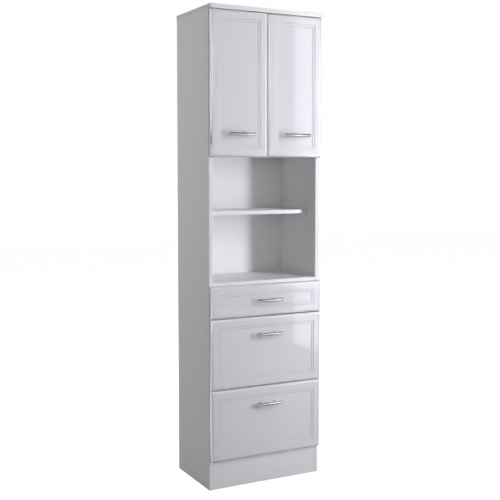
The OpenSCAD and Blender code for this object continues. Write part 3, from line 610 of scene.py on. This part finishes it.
def turn_rollers(node):
    """A pair of rollers, each with a hub, a hollow face and a rounded tread."""
    low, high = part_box(node)
    radius = (high.z - low.z) / 2
    rim = [(a * roller_width, r * radius) for a, r in hub_and_face + tread]
    rim[0] = (0, axle_hole)
    outline = rim + [(roller_width - a, r) for a, r in reversed(rim)] + [rim[0]]
    shape = bmesh.new()
    for x, inward in ((low.x, 1), (high.x, -1)):
        centre = (x, (low.y + high.y) / 2, (low.z + high.z) / 2)
        turned(shape, outline, centre, (inward, 0, 0), 40)
    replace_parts(new_piece(f"{node}_turned", shape, nylon, node), node)


for level in drawers:
    turn_rollers(f"cabinet_rollers_{level}")
    turn_rollers(f"drawer_rollers_{level}")

# ------------------------------------------------------------------ screw heads
# Low domed heads with a cross recess, pressed in cold-headed steel and zinc-plated. They are
# seated on the plain heads of the model's screws. Each hinge arm has two adjusting screws.
side_inner, front_edge = 0.234, -0.130
panel_back = front_edge + 0.0002
system_head, adjusting_head, small_head, handle_head = 0.0037, 0.0032, 0.003, 0.004
backwards = (0, 1, 0)


def cross_head(shape, place, axis, radius):
    """One head, its foot on place and facing along axis. Its sizes go with its radius."""
    place, axis = Vector(place), Vector(axis)
    across = axis.orthogonal().normalized()
    up = axis.cross(across)
    height, arm, half = 0.24 * radius, 0.52 * radius, 0.12 * radius
    dome = [(0, 0), (0, 1), (0.4, 0.99), (0.8, 0.88), (1, 0.68)]
    turned(shape, [(a * height, r * radius) for a, r in dome], place, axis, 20)
    rim = [edge for edge in shape.edges if edge.is_boundary]
    corners = []
    for turn in range(4):
        for a, b in ((arm, -half), (arm, half), (half, half)):
            for _ in range(turn):
                a, b = -b, a
            corners.append(shape.verts.new(place + axis * height + across * a + up * b))
    lips = [shape.edges.new(pair) for pair in zip(corners, corners[1:] + corners[:1])]
    bmesh.ops.bridge_loops(shape, edges=rim + lips)
    sunk = bmesh.ops.extrude_edge_only(shape, edges=lips)["geom"]
    foot = [part for part in sunk if isinstance(part, bmesh.types.BMVert)]
    bmesh.ops.translate(shape, verts=foot, vec=-0.8 * height * axis)
    floor_rim = [edge for edge in shape.edges if edge.is_boundary]
    bmesh.ops.holes_fill(shape, edges=floor_rim, sides=12)


def cross_heads(name, heads, finish, body):
    """One piece for the heads of a body, each given as (place, axis, radius)."""
    shape = bmesh.new()
    for place, axis, radius in heads:
        cross_head(shape, place, axis, radius)
    new_piece(name, shape, finish, body)


hinge_heights = (1.408, 1.792)
runner_heights = {
    level: sum(corner.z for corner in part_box(f"cabinet_rollers_{level}")) / 2 for level in drawers
}
plate_spread, plate_back, plate_face = 0.016, 0.037, 0.004
adjusters_back, arm_face = (0.030, 0.050), 0.0112
runner_screws_back, runner_face = (0.037, 0.133, 0.229), 0.0025

heads, adjusters = [], []
for side in (-1, 1):
    inwards = (-side, 0, 0)
    for z in hinge_heights:
        for dz in (-plate_spread, plate_spread):
            place = (side * (side_inner - plate_face), front_edge + plate_back, z + dz)
            heads.append((place, inwards, system_head))
        for back in adjusters_back:
            place = (side * (side_inner - arm_face), front_edge + back, z)
            adjusters.append((place, inwards, adjusting_head))
    for z in runner_heights.values():
        for back in runner_screws_back:
            place = (side * (side_inner - runner_face), front_edge + back, z)
            heads.append((place, inwards, system_head))
cross_heads("system_screw_heads", heads, zinc, "carcass")
cross_heads("hinge_adjusting_screws", adjusters, nickel, "carcass")

cup_x, ear_spread = 0.2225, 0.024


def handle_heads(node):
    """The two screws that hold a handle, seen on the back of its front."""
    low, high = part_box(node)
    middle = (low + high) / 2
    return [
        ((middle.x + side * post_spacing / 2, panel_back, middle.z), backwards, handle_head)
        for side in (-1, 1)
    ]


for side, way in (("left", -1), ("right", 1)):
    heads = [
        ((way * cup_x, panel_back, z + dz), backwards, small_head)
        for z in hinge_heights
        for dz in (-ear_spread, ear_spread)
    ]
    heads += handle_heads(f"door_handle_{side}")
    cross_heads(f"door_screw_heads_{side}", heads, zinc, f"door_{side}")

box_runner_face, box_screws_back, box_screws_rise = 0.223, (0.040, 0.170), 0.002
for level, axle in runner_heights.items():
    heads = handle_heads(f"drawer_handle_{level}")
    for side in (-1, 1):
        for back in box_screws_back:
            place = (side * box_runner_face, front_edge + back, axle + box_screws_rise)
            heads.append((place, (side, 0, 0), small_head))
    cross_heads(f"drawer_screw_heads_{level}", heads, zinc, f"drawer_{level}")
